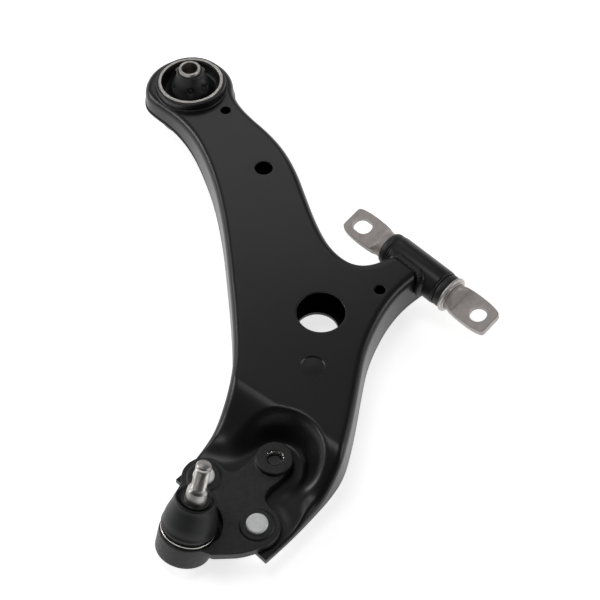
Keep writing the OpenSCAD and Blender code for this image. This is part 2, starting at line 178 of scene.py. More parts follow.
def finish(name, dark, light, rough, metal=0.0, patch=60, grain=900, grain_depth=0.0,
           peel=0.0, peel_scale=250, edge=None, edge_from=0.52, coat=0.0, rings=None,
           specular=0.5, specks=0.0):
    """One procedural surface. dark and light are the ends of its patchy colour, rough the
    range of its roughness, patch, grain and peel_scale noise scales per metre, and edge
    the colour that its convex edges wear to. rings = (place, scale, depth) adds the fine
    rings of a turned face round the Z axis of that place."""
    mat, nodes, links = node_graph(name)
    shader = nodes["Principled BSDF"]
    coords = nodes.new("ShaderNodeTexCoord").outputs["Object"]
    patches = noise(nodes, links, coords, patch, 6.0, 0.6)
    spread = mapped(nodes, links, patches, 0.3, 0.7, 0.0, 1.0)
    colour = mixed(nodes, links, spread, dark, light)
    fine = noise(nodes, links, coords, grain, 3.0)
    if specks:
        dust = noise(nodes, links, coords, 1500, 2.0, 0.4)
        spots = mapped(nodes, links, dust, 0.73, 0.78, 0.0, specks)
        colour = mixed(nodes, links, spots, colour, (0.32, 0.32, 0.31))
    if edge is not None:
        bend = nodes.new("ShaderNodeNewGeometry").outputs["Pointiness"]
        worn = mapped(nodes, links, bend, edge_from, edge_from + 0.08, 0.0, 0.7)
        colour = mixed(nodes, links, worn, colour, edge)
    links.new(colour, shader.inputs["Base Color"])
    links.new(mapped(nodes, links, fine, 0.3, 0.7, rough[0], rough[1]),
              shader.inputs["Roughness"])
    shader.inputs["Metallic"].default_value = metal
    shader.inputs["Specular IOR Level"].default_value = specular
    shader.inputs["Coat Weight"].default_value = coat
    shader.inputs["Coat Roughness"].default_value = 0.12
    normal = None
    if grain_depth:
        normal = bumped(nodes, links, fine, 0.6, grain_depth * MM)
    if peel:
        waves = noise(nodes, links, coords, peel_scale, 2.0)
        normal = bumped(nodes, links, waves, 0.5, peel * MM, normal)
    if rings:
        turned, scale, depth = rings
        shift = nodes.new("ShaderNodeMapping")
        shift.vector_type = "TEXTURE"
        shift.inputs["Location"].default_value = turned[:3, 3] * MM
        turn = Matrix(turned[:3, :3].tolist()).to_euler()
        shift.inputs["Rotation"].default_value = turn
        links.new(coords, shift.inputs["Vector"])
        wave = nodes.new("ShaderNodeTexWave")
        wave.wave_type = "RINGS"
        wave.rings_direction = "Z"
        wave.inputs["Scale"].default_value = scale
        wave.inputs["Distortion"].default_value = 0.6
        wave.inputs["Detail"].default_value = 2.0
        links.new(shift.outputs["Vector"], wave.inputs["Vector"])
        normal = bumped(nodes, links, wave.outputs["Fac"], 0.4, depth * MM, normal)
    if normal is not None:
        links.new(normal, shader.inputs["Normal"])
    return mat


PAINT = finish("arm_paint", (0.0085, 0.0085, 0.009), (0.012, 0.012, 0.0125), (0.28, 0.35),
               patch=14, grain=1400, grain_depth=0.012, peel=0.03, peel_scale=260,
               specks=0.12, specular=0.38)
PAINT_FINE = finish("bush_paint", (0.008, 0.008, 0.0085), (0.011, 0.011, 0.0115),
                    (0.32, 0.38), patch=30, peel=0.02, peel_scale=400, specular=0.38)
FORGING = finish("forging_paint", (0.010, 0.010, 0.0105), (0.020, 0.020, 0.020),
                 (0.34, 0.48), patch=220, grain=900, grain_depth=0.5, peel=0.42,
                 peel_scale=420, specks=0.2, specular=0.38)
SLEEVE = finish("cut_sleeve_steel", (0.52, 0.50, 0.47), (0.74, 0.72, 0.69), (0.26, 0.42),
                metal=1.0, patch=300, grain=2400, grain_depth=0.03,
                rings=(at(0, 0), 700, 0.02))
CORE = finish("core_sleeve_steel", (0.36, 0.34, 0.32), (0.60, 0.57, 0.54), (0.30, 0.48),
              metal=1.0, patch=420, grain=2400, grain_depth=0.05)
PHOSPHATE = finish("phosphated_shaft", (0.40, 0.367, 0.347), (0.50, 0.462, 0.44),
                   (0.46, 0.60), metal=0.35, patch=260, grain=1700, grain_depth=0.06,
                   peel=0.03, peel_scale=700, edge=(0.42, 0.39, 0.37), edge_from=0.53)
WASHER = finish("pressed_washer", (0.48, 0.45, 0.43), (0.62, 0.59, 0.57), (0.36, 0.50),
                metal=0.8, patch=300, grain=1500, grain_depth=0.05)
BLACK_PLATE = finish("black_plate", (0.020, 0.020, 0.020), (0.045, 0.044, 0.043),
                     (0.28, 0.42), metal=0.4, patch=200, grain=1500, grain_depth=0.03)
STUD_STEEL = finish("ground_stud", (0.36, 0.345, 0.33), (0.52, 0.50, 0.48), (0.30, 0.42),
                    metal=1.0, patch=160, grain=2200, grain_depth=0.012,
                    rings=(JOINT_PLACE, 900, 0.004))
WIRE = finish("ring_wire", (0.58, 0.56, 0.53), (0.78, 0.76, 0.73), (0.16, 0.28),
              metal=1.0, patch=300, grain=2400, grain_depth=0.01)
ZINC = finish("zinc_plate", (0.78, 0.795, 0.785), (0.92, 0.935, 0.92), (0.36, 0.50),
              metal=0.35, patch=330, grain=1800, grain_depth=0.03, peel=0.05,
              peel_scale=420)
BOLT_BLACK = finish("blackened_bolt", (0.035, 0.036, 0.038), (0.060, 0.060, 0.062),
                    (0.38, 0.52), metal=0.5, patch=250, grain=1500, grain_depth=0.04)
RUBBER = finish("bush_rubber", (0.0105, 0.0105, 0.011), (0.022, 0.022, 0.0225),
                (0.42, 0.60), patch=90, grain=1500, grain_depth=0.04, peel=0.05,
                peel_scale=480)
BOOT = finish("boot_rubber", (0.014, 0.0145, 0.016), (0.022, 0.0225, 0.024),
              (0.38, 0.46), patch=70, grain=1700, grain_depth=0.02, peel=0.03,
              peel_scale=500, specular=0.3)
SEAT = finish("seat_acetal", (0.58, 0.55, 0.46), (0.68, 0.65, 0.56), (0.35, 0.45),
              patch=120, grain=1200, grain_depth=0.02)
SPRING = finish("spring_steel", (0.16, 0.17, 0.20), (0.26, 0.27, 0.29), (0.25, 0.40),
                metal=1.0, patch=200, grain=1600, grain_depth=0.03)


# ---- curves and outlines
def spline(points, each=10):
    """A smooth curve through the points."""
    p = np.array(points, float)
    p = np.vstack([p[:1], p, p[-1:]])
    t = (np.arange(each) / each)[:, None]
    out = [0.5 * (2 * b + (c - a) * t + (2 * a - 5 * b + 4 * c - d) * t ** 2
                  + (3 * b - a - 3 * c + d) * t ** 3)
           for a, b, c, d in zip(p, p[1:], p[2:], p[3:])]
    return np.vstack(out + [p[-1:]])


def even(points, step):
    """The same curve with its points evenly spaced."""
    gaps = np.r_[0, np.cumsum(np.linalg.norm(np.diff(points, axis=0), axis=1))]
    where = np.linspace(0, gaps[-1], max(2, round(gaps[-1] / step) + 1))
    return np.column_stack([np.interp(where, gaps, points[:, k])
                            for k in range(points.shape[1])])


def relaxed(points, spread):
    """An evenly spaced curve with its small waves taken out, its two ends held."""
    step = np.linalg.norm(points[1] - points[0])
    reach = int(3 * spread / step)
    kernel = np.exp(-0.5 * (np.arange(-reach, reach + 1) * step / spread) ** 2)
    kernel /= kernel.sum()
    head = 2 * points[0] - points[reach:0:-1]
    tail = 2 * points[-1] - points[-2:-reach - 2:-1]
    long = np.vstack([head, points, tail])
    return np.column_stack([np.convolve(long[:, k], kernel, "valid") for k in range(2)])


def arc(centre, radius, start, stop, count):
    a = np.radians(np.linspace(start, stop, count))
    return np.array(centre) + radius * np.column_stack([np.cos(a), np.sin(a)])


def inward(points):
    """The mitred inward direction at each point of a closed counter-clockwise loop."""
    before = points - np.roll(points, 1, 0)
    after = np.roll(points, -1, 0) - points
    u, v = (np.column_stack([-d[:, 1], d[:, 0]]) / np.linalg.norm(d, axis=1)[:, None]
            for d in (before, after))
    w = u + v
    return 2 * w / (w * w).sum(1)[:, None]


def inside(points, loop):
    """Which points lie inside a closed loop."""
    hit = np.zeros(len(points), bool)
    for (x0, y0), (x1, y1) in zip(loop, np.roll(loop, -1, 0)):
        crosses = (y0 > points[:, 1]) != (y1 > points[:, 1])
        if y0 != y1:
            x = x0 + (points[:, 1] - y0) / (y1 - y0) * (x1 - x0)
            hit ^= crosses & (points[:, 0] < x)
    return hit


LEFT_CORNER = (-11.0, -415.5)
RIGHT_CORNER = (58.5, -489.0)
TUBE_CORNER = (212.0, -231.0)
FRONT_EDGE = [RIGHT_CORNER, (78, -471), (93, -455.5), (110, -436.5), (122, -418.5),
              (129.5, -396), (136, -370), (142, -343), (149, -315.5), (159.5, -291),
              (172, -269.5), (188, -250.5), TUBE_CORNER]
INNER_EDGE = [(192.5, -205), (175.5, -214), (165, -219.8), (156.5, -222.8), (148, -223.2),
              (140, -219.8), (131, -211), (122, -196), (113.7, -171.5), (106.4, -142),
              (99, -111.5), (88.6, -84), (74.8, -60.8), (58.8, -40), (48, -23)]
OUTER_EDGE = [(-36, -21), (-21, -35.5), (-10.5, -48.5), (-0.5, -65), (7.7, -84.3),
              (15.8, -110), (21.4, -135), (25.4, -160), (28.8, -188), (31.6, -225),
              (34.2, -265), (35.3, -300), (34.5, -325), (31.5, -343), (26, -359.5),
              (17.8, -377), (6.8, -394), LEFT_CORNER]
EDGE_STEP = 1.8


def arm_outline():
    """The arm's outline, and for each point how far round it a drawn wall runs: 1 on the
    walls and 0 on the two cut edges."""
    rear = np.vstack([INNER_EDGE, arc(EYE_AT, EYE_R, -10, 196, 22), OUTER_EDGE])
    runs = [(np.array([LEFT_CORNER, RIGHT_CORNER]), 0),
            (relaxed(even(spline(FRONT_EDGE), EDGE_STEP), 6), 1),
            (np.array([TUBE_CORNER, INNER_EDGE[0]]), 0),
            (relaxed(even(spline(rear), EDGE_STEP), 6), 1)]
    loop, wall = [], []
    for points, drawn in runs:
        points = even(points, EDGE_STEP)
        gap = np.minimum(np.arange(len(points)), len(points) - 1 - np.arange(len(points)))
        loop.append(points[:-1])
        wall.append((drawn * np.clip(gap * EDGE_STEP / 7, 0, 1))[:-1])
    return np.vstack(loop), np.hstack(wall)


OUTLINE, WALLED = arm_outline()
INWARD = inward(OUTLINE)


# ---- the arm's heights
def ease(t):
    c = np.clip(t, 0, 1)
    return c * c * (3 - 2 * c)


def underside(y):
    return ARM_LOW + REAR_RISE * ease((y + 110) / 95)


def off_centre(p, centre):
    return np.linalg.norm(p - np.array(centre), axis=1)


def outside_pocket(p):
    """Distance outside the pocket's flat floor: a chain of discs that keeps close round the
    bracket, with its inner corners softened."""
    discs = [((12, -419), 16.5), ((0, -440), 18), ((50, -464), 18), ((52.8, -462.5), 18),
             ((46, -437), 16.5), ((69, -407), 18.5), ((37, -421), 14.5)]
    loop = np.array([c for c, _ in discs], float)
    soft = 3.0
    near = np.zeros(len(p))
    for (a, ra), (b, rb) in zip(discs, discs[1:] + discs[:1]):
        a, b = np.array(a, float), np.array(b, float)
        t = np.clip((p - a) @ (b - a) / ((b - a) @ (b - a)), 0, 1)
        gap = np.linalg.norm(p - a - t[:, None] * (b - a), axis=1) - ra - t * (rb - ra)
        near += np.exp(-gap / soft)
    best = -soft * np.log(near)
    best[inside(p, loop)] = 0
    return np.maximum(best, 0)


END_ALONG = np.array([0.6871, -0.7266])
END_INTO = np.array([0.7266, 0.6871])


def top_height(p):
    """Height of the upper shell's outer face over plan points p."""
    into = (p - np.array(LEFT_CORNER)) @ END_INTO
    along = (p - np.array(LEFT_CORNER)) @ END_ALONG
    e = into - 0.12 * along
    fall = 16 * ease((92 - e) / 45) + 11.5 * np.clip(1 - e / 92, 0, 1.2)
    crown = ARM_TOP - fall
    h = FLANGE_Z + (crown - FLANGE_Z) * ease(outside_pocket(p) / 19)
    h = np.maximum(h, FLANGE_Z)
    ring = off_centre(p, DISC_MARK[0]) - DISC_MARK[1]
    h = h - 0.9 * ease((0.4 - ring) / 0.8) + 0.25 * ease(-ring / 9)
    for centre, radius in [BIG_HOLE] + PLAIN_HOLES:
        round_off = 1.0 if radius > 10 else 0.6
        gap = np.clip(off_centre(p, centre) - radius, 0, round_off)
        h = h - (round_off - np.sqrt(round_off ** 2 - (round_off - gap) ** 2))
    return h


def wall_lean(z):
    return 1.5 * np.clip((z - ARM_LOW) / 26.5, 0, 1)


# ---- meshes
def piece(name, verts, faces, material, slot, body="arm", stands_for=(), where=None,
          angle=32, merge=True):
    """A mesh in millimetres as a named piece that rides on a CAD body."""
    verts = np.asarray(verts, float)
    if where is not None:
        verts = verts @ where[:3, :3].T + where[:3, 3]
    mesh = bpy.data.meshes.new(name)
    mesh.from_pydata((verts * MM).tolist(), [], faces)
    if merge:
        bm = bmesh.new()
        bm.from_mesh(mesh)
        bmesh.ops.remove_doubles(bm, verts=bm.verts, dist=2e-7)
        bmesh.ops.dissolve_degenerate(bm, edges=bm.edges, dist=1e-7)
        bmesh.ops.recalc_face_normals(bm, faces=bm.faces)
        bm.to_mesh(mesh)
        bm.free()
    obj = bpy.data.objects.new(name, mesh)
    bpy.context.scene.collection.objects.link(obj)
    mesh.materials.append(material)
    shade(obj, angle)
    if stands_for:
        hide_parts(*stands_for)
    if body:
        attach(obj, body)
    return obj


def shade(obj, angle):
    obj.data.shade_smooth()
    obj.data.set_sharp_from_angle(angle=math.radians(angle))


def settle(obj):
    """Applies the object's modifiers to its mesh."""
    graph = bpy.context.evaluated_depsgraph_get()
    graph.update()
    made = bpy.data.meshes.new_from_object(obj.evaluated_get(graph))
    obj.modifiers.clear()
    obj.data = made
    return obj


def grid_faces(rows, around, closed):
    return [(k * around + i, k * around + (i + 1) % around,
             (k + 1) % rows * around + (i + 1) % around, (k + 1) % rows * around + i)
            for k in range(rows if closed else rows - 1) for i in range(around)]


def lathe(profile, around=96, closed=True, shape=None):
    """A profile of (radius, height) turned about Z; shape(r, h, turn) may alter both."""
    turn = np.arange(around) * 2 * math.pi / around
    r, h = (np.repeat(np.array(profile, float)[:, k:k + 1], around, 1) for k in (0, 1))
    t = np.repeat(turn[None, :], len(profile), 0)
    if shape:
        r, h = shape(r, h, t)
    verts = np.stack([r * np.cos(t), r * np.sin(t), h], -1).reshape(-1, 3)
    return verts, grid_faces(len(profile), around, closed)


def eased(profile, radius, steps=4, closed=True):
    """A profile with its corners rounded off; radius is one size, or one per corner."""
    p = np.array(profile, float)
    radii = np.broadcast_to(radius, len(p))
    out = []
    for i, (q, r) in enumerate(zip(p, radii)):
        if (not closed and i in (0, len(p) - 1)) or r == 0:
            out.append(q)
            continue
        a, b = p[i - 1] - q, p[(i + 1) % len(p)] - q
        la, lb = np.linalg.norm(a), np.linalg.norm(b)
        cut = min(r, 0.45 * la, 0.45 * lb)
        start, end = q + a / la * cut, q + b / lb * cut
        for s in np.linspace(0, 1, steps + 1):
            out.append((1 - s) ** 2 * start + 2 * s * (1 - s) * q + s * s * end)
    return out


def joined(*parts):
    """Several (verts, faces) meshes as one."""
    verts, faces, base = [], [], 0
    for v, f in parts:
        verts.append(np.asarray(v, float))
        faces += [tuple(base + i for i in face) for face in f]
        base += len(v)
    return np.vstack(verts), faces


def moved(part, where):
    verts, faces = part
    return np.asarray(verts) @ where[:3, :3].T + where[:3, 3], faces


def filled(loop, holes, points):
    """Triangles over the plan area inside loop and outside the holes, with the given
    inner points. Returns the plan points and the triangles."""
    rings = [loop] + holes
    verts = [Vector(v) for v in np.vstack(rings + [points])]
    edges, base = [], 0
    for ring in rings:
        n = len(ring)
        edges += [(base + i, base + (i + 1) % n) for i in range(n)]
        base += n
    out, _, faces, *_ = delaunay_2d_cdt(verts, edges, [], 0, 1e-5)
    out = np.array([list(v) for v in out])
    middle = out[np.array(faces)].mean(1)
    keep = inside(middle, loop)
    for hole in holes:
        keep &= ~inside(middle, hole)
    return out, [f for f, k in zip(faces, keep) if k]


def hexagonal(low, high, step):
    rows = np.arange(low[1], high[1], step * 0.866)
    return np.array([(x + (k % 2) * step / 2, y) for k, y in enumerate(rows)
                     for x in np.arange(low[0], high[0], step)])


def clear_of(points, loops, gap):
    keep = np.ones(len(points), bool)
    for loop in loops:
        for part in np.array_split(np.arange(len(points)), 40):
            d = points[part][:, None, :] - loop[None, :, :]
            keep[part] &= (d ** 2).sum(-1).min(1) > gap ** 2
    return points[keep]


# ---- arm shells
SHOULDER_STEPS = 9
WALL_STEPS = 5


def ring_points(centre, radius, gaps, step=1.5):
    """Circles just outside a hole's edge, which its rounding needs."""
    count = max(24, round(2 * math.pi * radius / step))
    return [arc(centre, radius + g, 0, 360, count + 1)[:-1] for g in gaps]


def upper_skin():
    """The upper shell's outer face: rim, drawn wall, rounded shoulder and top."""
    n = len(OUTLINE)
    edge_top = top_height(OUTLINE + INWARD * 1.0)
    rim = underside(OUTLINE[:, 1]) + SHEET + SEAM_GAP
    stand = np.maximum(edge_top - rim, 0.5)
    radius = np.maximum(np.minimum(7.0, 0.8 * stand) * WALLED, 0.35)
    base_z = edge_top - radius
    rows = []
    for k in range(WALL_STEPS + 1):
        z = rim + (base_z - rim) * k / WALL_STEPS
        rows.append(np.column_stack([OUTLINE + INWARD * wall_lean(z)[:, None], z]))
    for k in range(1, SHOULDER_STEPS + 1):
        turn = math.pi / 2 * k / SHOULDER_STEPS
        deep = wall_lean(base_z) + radius * (1 - math.cos(turn))
        xy = OUTLINE + INWARD * deep[:, None]
        rows.append(np.column_stack([xy, top_height(xy) - radius * (1 - math.sin(turn))]))
    loop = rows[-1][:, :2]
    round_gaps = [0, 0.1, 0.25, 0.45, 0.7, 1.0, 2.2]
    eye = ring_points((0, 0), HOUSING_R - 0.2, [0, 1.5])
    holes, extra = [eye[0]], [eye[1]]
    for centre, size in [BIG_HOLE] + PLAIN_HOLES:
        rings = ring_points(centre, size, round_gaps if size > 10 else round_gaps[:5])
        holes.append(rings[0])
        extra += rings[1:]
    extra += ring_points(DISC_MARK[0], DISC_MARK[1], [-1.4, -0.5, 0, 0.5, 1.0, 1.8])
    grid = hexagonal(loop.min(0), loop.max(0), 2.3)
    grid = grid[inside(grid, loop)]
    grid = clear_of(grid, [loop] + holes + extra, 1.3)
    for hole in holes:
        grid = grid[~inside(grid, hole)]
    ringed = np.vstack(extra)
    ringed = clear_of(ringed[inside(ringed, loop)], [loop], 0.8)
    plan, triangles = filled(loop, holes, np.vstack([ringed, grid]))
    top = np.column_stack([plan, top_height(plan)])
    band = (np.vstack(rows), grid_faces(len(rows), n, False))
    return joined(band, (top, triangles))


def bush_cutter(radius, reach=60):
    verts, faces = lathe([(0, -reach), (radius, -reach), (radius, reach), (0, reach)],
                         160, closed=False)
    return piece("cutter", verts, faces, PAINT, "black_paint", None, where=BUSH_PLACE)


def carve(obj, cutter, operation="DIFFERENCE"):
    cut = obj.modifiers.new("carve", "BOOLEAN")
    cut.operation = operation
    cut.object = cutter
    cut.solver = "EXACT"
    settle(obj)
    bpy.data.objects.remove(cutter)
    return obj


def thicken(obj, thickness):
    wall = obj.modifiers.new("sheet", "SOLIDIFY")
    wall.thickness = thickness * MM
    wall.offset = -1
    return settle(obj)


def build_upper_shell():
    verts, faces = upper_skin()
    shell = piece("upper_pressing", verts, faces, PAINT, "black_paint",
                  stands_for=["upper_shell"])
    thicken(shell, SHEET)
    carve(shell, bush_cutter(TUBE_R - 0.25))
    shade(shell, 38)


def bottom_height(p):
    """Height of the lower shell's outer face, with a shallow panel pressed into it."""
    spine = np.array([(0, -95), (52, -150), (82, -235), (80, -330), (72, -362)], float)
    line = even(spline(spine), 3)
    gap = np.sqrt(((p[:, None, :] - line[None, :, :]) ** 2).sum(-1)).min(1)
    wide = 13 + 9 * ease((-120 - p[:, 1]) / 120)
    panel = 2.6 * ease((wide - gap) / 7 + 0.5)
    flat = ease((off_centre(p, BIG_HOLE_LOW[0]) - BIG_HOLE_LOW[1] - 5) / 8)
    return underside(p[:, 1]) + panel * flat


def build_lower_shell():
    n = len(OUTLINE)
    edge_low = underside(OUTLINE[:, 1])
    rows = []
    for lift, deep in ((3.0, 0.15), (2.4, 0), (1.2, 0), (0.5, 0.2), (0.15, 0.55), (0, 1.2)):
        xy = OUTLINE + INWARD * deep
        rows.append(np.column_stack([xy, edge_low + lift]))
    inner = [np.column_stack([OUTLINE + INWARD * 1.2, edge_low + SHEET])]
    loop = rows[-1][:, :2]
    centre, size = BIG_HOLE_LOW
    rings = ring_points(centre, size, [0, 1, 2.2, 4])
    eye = ring_points((0, 0), HOUSING_R - 0.2, [0, 1.5])
    holes, extra = [eye[0], rings[0]], [eye[1]] + rings[1:]
    grid = hexagonal(loop.min(0), loop.max(0), 3.2)
    grid = clear_of(grid[inside(grid, loop)], [loop] + holes + extra, 1.8)
    for hole in holes:
        grid = grid[~inside(grid, hole)]
    plan, triangles = filled(loop, holes, np.vstack(extra + [grid]))
    low = np.column_stack([plan, bottom_height(plan)])
    high = low + np.array([0, 0, SHEET])
    m = len(plan)
    sides = []
    for loop_start, count in ((n, len(holes[0])), (n + len(holes[0]), len(holes[1]))):
        for i in range(count):
            a, b = loop_start + i, loop_start + (i + 1) % count
            sides.append((a, b, b + m, a + m))
    plate = (np.vstack([low, high]),
             list(triangles) + [tuple(i + m for i in f) for f in triangles] + sides)
    band = (np.vstack(rows), grid_faces(len(rows), n, False))
    lid = (np.vstack([rows[0], inner[0]]), grid_faces(2, n, False))
    verts, faces = joined(plate, band, lid)
    shell = piece("lower_pressing", verts, faces, PAINT, "black_paint",
                  stands_for=["lower_shell"])
    carve(shell, bush_cutter(TUBE_R - 0.25))
    shade(shell, 38)


# ---- shared solids
def sweep(path, radius, around=16, closed=False):
    """A tube along a path; radius is one number or one for each point."""
    path = np.asarray(path, float)
    tangents = np.gradient(path, axis=0)
    if closed:
        tangents = np.roll(path, -1, 0) - np.roll(path, 1, 0)
    tangents /= np.linalg.norm(tangents, axis=1)[:, None]
    side = np.cross(tangents[0], UP)
    side /= np.linalg.norm(side)
    radii = np.broadcast_to(radius, len(path))
    turn = np.arange(around) * 2 * math.pi / around
    verts = []
    for p, t, r in zip(path, tangents, radii):
        side = side - t * (side @ t)
        side /= np.linalg.norm(side)
        lift = np.cross(t, side)
        verts.append(p + r * (np.cos(turn)[:, None] * side + np.sin(turn)[:, None] * lift))
    faces = grid_faces(len(path), around, closed)
    if not closed:
        last = (len(path) - 1) * around
        faces += [tuple(range(around)), tuple(last + i for i in range(around))]
    return np.vstack(verts), faces


def prism(loop, low, high):
    """A plate with a plan outline."""
    loop = np.asarray(loop, float)
    n = len(loop)
    verts = np.vstack([np.column_stack([loop, np.full(n, z)]) for z in (low, high)])
    sides = [(i, (i + 1) % n, n + (i + 1) % n, n + i) for i in range(n)]
    return verts, sides + [tuple(range(n)), tuple(n + i for i in range(n))]


def post(radius, low, high, top_radius=None, around=96):
    top = radius if top_radius is None else top_radius
    return lathe([(0, low), (radius, low), (top, high), (0, high)], around, closed=False)


def hull_of(points):
    bm = bmesh.new()
    for p in points:
        bm.verts.new(p)
    bmesh.ops.convex_hull(bm, input=bm.verts)
    loose = [v for v in bm.verts if not v.link_faces]
    bmesh.ops.delete(bm, geom=loose, context="VERTS")
    bm.verts.index_update()
    part = (np.array([v.co[:] for v in bm.verts]),
            [tuple(v.index for v in f.verts) for f in bm.faces])
    bm.free()
    return part


def mesh_object(part, name="work"):
    obj = bpy.data.objects.new(name, bpy.data.meshes.new(name))
    obj.data.from_pydata(np.asarray(part[0]).tolist(), [], part[1])
    bm = bmesh.new()
    bm.from_mesh(obj.data)
    bmesh.ops.remove_doubles(bm, verts=bm.verts, dist=1e-4)
    bmesh.ops.dissolve_degenerate(bm, edges=bm.edges, dist=1e-5)
    bmesh.ops.recalc_face_normals(bm, faces=bm.faces)
    bm.to_mesh(obj.data)
    bm.free()
    bpy.context.scene.collection.objects.link(obj)
    return obj


def fused(parts, voxel, passes, cutters=()):
    """Rough closed parts grown into one forging with soft inner corners, then cut with
    crisp machined shapes. Millimetres in and out."""
    obj = mesh_object(joined(*parts))
    grow = obj.modifiers.new("grow", "REMESH")
    grow.mode = "VOXEL"
    grow.voxel_size = voxel
    soft = obj.modifiers.new("soft", "SMOOTH")
    soft.factor = 0.5
    soft.iterations = passes
    settle(obj)
    for cutter in cutters:
        tool = mesh_object(cutter, "tool")
        cut = obj.modifiers.new("cut", "BOOLEAN")
        cut.operation = "DIFFERENCE"
        cut.object = tool
        cut.solver = "EXACT"
        settle(obj)
        bpy.data.objects.remove(tool)
    verts = np.array([v.co[:] for v in obj.data.vertices])
    faces = [tuple(p.vertices) for p in obj.data.polygons]
    bpy.data.objects.remove(obj)
    return verts, faces


def screw(low, high, pitch, depth, fade=1.2):
    """A radius change for lathe() that cuts a thread between two heights."""
    def shape(r, h, turn):
        phase = (h / pitch - turn / (2 * math.pi)) % 1.0
        crest = np.clip(2.4 * np.abs(phase - 0.5) - 0.1, 0, 1)
        near = np.clip((h - low) / fade, 0, 1) * np.clip((high - h) / fade, 0, 1)
        return np.where((h > low) & (h < high), r - depth * (1 - crest) * near, r)
    return shape


def thread_rows(radius, low, high, pitch, per_turn=10):
    return [(radius, z) for z in np.linspace(low, high, int((high - low) / pitch * per_turn))]


def ripples(count, spacing, size, amount):
    """Bead radii with the scale pattern of a weld."""
    x = np.arange(count) * spacing
    ramp = (x / 2.4) % 1.0
    return size * (1 + amount * (1 - ramp) - amount / 2)


# ---- rear bush
def build_rear_bush():
    body = [(33.5, -20.7), (33.5, 20.7), (31.02, 20.7), (31.02, -20.7)]
    verts, faces = lathe(eased(body, [1.2, 1.4, 0.3, 0.3], 5), 144)
    piece("rear_housing_tube", verts, faces, PAINT_FINE, "black_paint",
          stands_for=["rear_bush_housing"])

    def knurl(r, h, turn):
        raised = (np.abs(h) > 21.3) & (r > 28.6) & (r < 30.85)
        wave = 0.5 + 0.5 * np.cos(120 * turn + 4 * r)
        return r, np.where(raised, h - np.sign(h) * 0.45 * wave, h)
    sleeve = [(31.0, -21.5), (31.0, 21.5), (30.1, 21.5), (29.2, 21.5), (28.3, 21.5),
              (28.3, 20.1), (28.8, 19.7), (28.8, -19.7), (28.3, -20.1), (28.3, -21.5),
              (29.2, -21.5), (30.1, -21.5)]
    ends = [0.3, 0.3, 0, 0, 0.3, 0.2, 0.2, 0.2, 0.2, 0.3, 0, 0]
    verts, faces = lathe(eased(sleeve, ends, 3), 720, shape=knurl)
    piece("rear_sleeve_ring", verts, faces, SLEEVE, "plated_steel",
          stands_for=["rear_outer_sleeve"], angle=50)

    half = spline([(27.9, 19.4), (27.5, 14.5), (26.6, 10.2), (24.6, 8.2), (22.2, 9.4),
                   (19.8, 13.2), (17.2, 18.2), (14.9, 23.6), (13.3, 28.4), (12.7, 32.2),
                   (12.2, 33.7), (11.2, 34.0)], 6)
    ring = [(28.78, 0.0), (28.78, 19.9), (28.4, 19.9)] + [tuple(q) for q in half]
    ring += [(10.22, 34.0), (10.22, 0.0)]
    # Moulded features of the hub: angle in degrees, height, width and how far out.
    marks = [(-90, 20.5, 3.2, -2.4), (-90, 20.9, 1.4, 2.2), (-33, 19.0, 3.4, -3.4),
             (-31, 24.0, 2.6, 1.8), (150, 29.0, 2.4, 2.6), (26, 29.0, 2.4, 2.4),
             (200, 16.5, 2.6, -1.6), (95, 22.0, 2.4, 1.6)]

    def moulded(r, h, turn):
        out = r.copy()
        for angle, height, width, depth in marks:
            gap = (turn - math.radians(angle) + math.pi) % (2 * math.pi) - math.pi
            away = (gap * r) ** 2 + (h - height) ** 2
            out += depth * np.exp(-(away / width ** 2) ** 1.5) * (r > 10.5) * (r < 26)
        return out, h
    for side, name in ((1, "rear_rubber_upper"), (-1, "rear_rubber_lower")):
        verts, faces = lathe(ring, 180, shape=moulded)
        verts = verts * np.array([1, 1, side])
        rubber = piece(name, verts, faces, RUBBER, "rubber", None, angle=50,
                       stands_for=["rear_rubber"] if side > 0 else [])
        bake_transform(rubber)

    def teeth(r, h, turn):
        end = (np.abs(h) > 36.7) & (r > 8.2) & (r < 9.9)
        wave = np.clip(1.4 * np.cos(30 * turn), 0, 1)
        return r, np.where(end, h - np.sign(h) * 0.35 * wave, h)
    core = [(10.2, -37), (10.2, 37), (9.6, 37), (9.0, 37), (8.4, 37), (7.75, 37),
            (7.75, -37), (8.4, -37), (9.0, -37), (9.6, -37)]
    verts, faces = lathe(eased(core, [0.4, 0.4, 0, 0, 0, 0.4, 0.4, 0, 0, 0], 3), 360,
                         shape=teeth)
    piece("rear_core_sleeve", verts, faces, CORE, "sleeve_steel", "rear_sleeve",
          stands_for=["rear_inner_sleeve"], angle=45)


# ---- front bush
def both_ends(part):
    verts, faces = part
    return joined(part, (verts * np.array([1, 1, -1]), faces))


